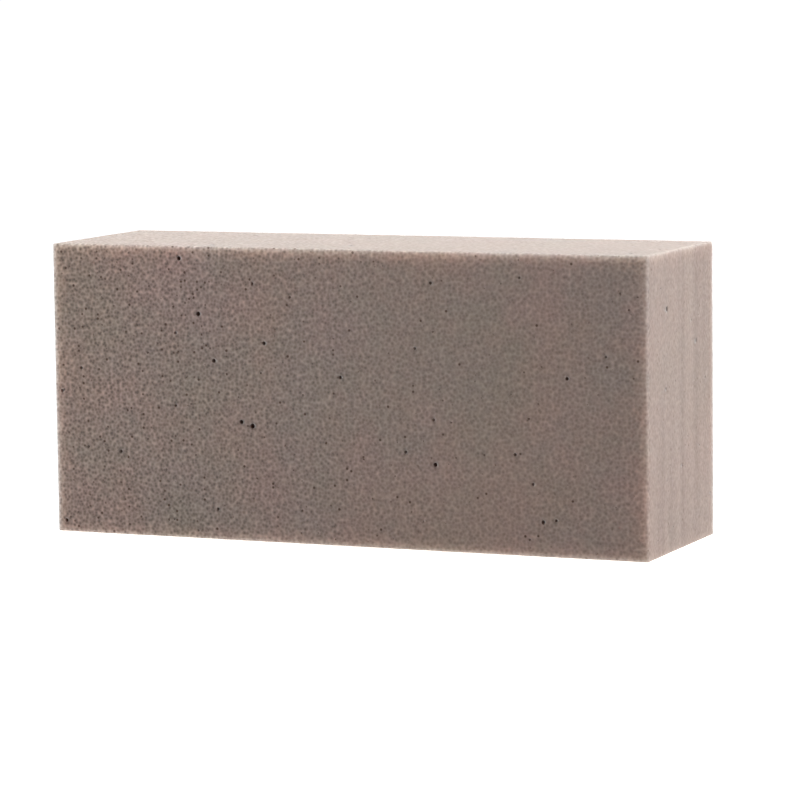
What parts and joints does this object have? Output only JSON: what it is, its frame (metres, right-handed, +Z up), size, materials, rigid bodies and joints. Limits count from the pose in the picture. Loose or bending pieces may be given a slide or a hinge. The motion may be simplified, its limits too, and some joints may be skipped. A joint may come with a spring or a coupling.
{
  "type": "dry floral foam brick",
  "caption": "Rectangular brick of rigid, open-cell dry floral foam, sawn square on all sides, that holds the stems of dried or artificial flowers.",
  "frame": {"origin": "middle of the long narrow side that the brick stands on", "axes": "+X along the length, +Y through the thickness from the front face to the back face, +Z up the height as the brick stands"},
  "size_m": [0.23, 0.07, 0.106],
  "materials": {
    "dry_foam": "dry phenolic foam, matt, finely pitted where it was sawn"
  },
  "bodies": {
    "root": {"foam_brick": "dry_foam"}
  },
  "joints": []
}
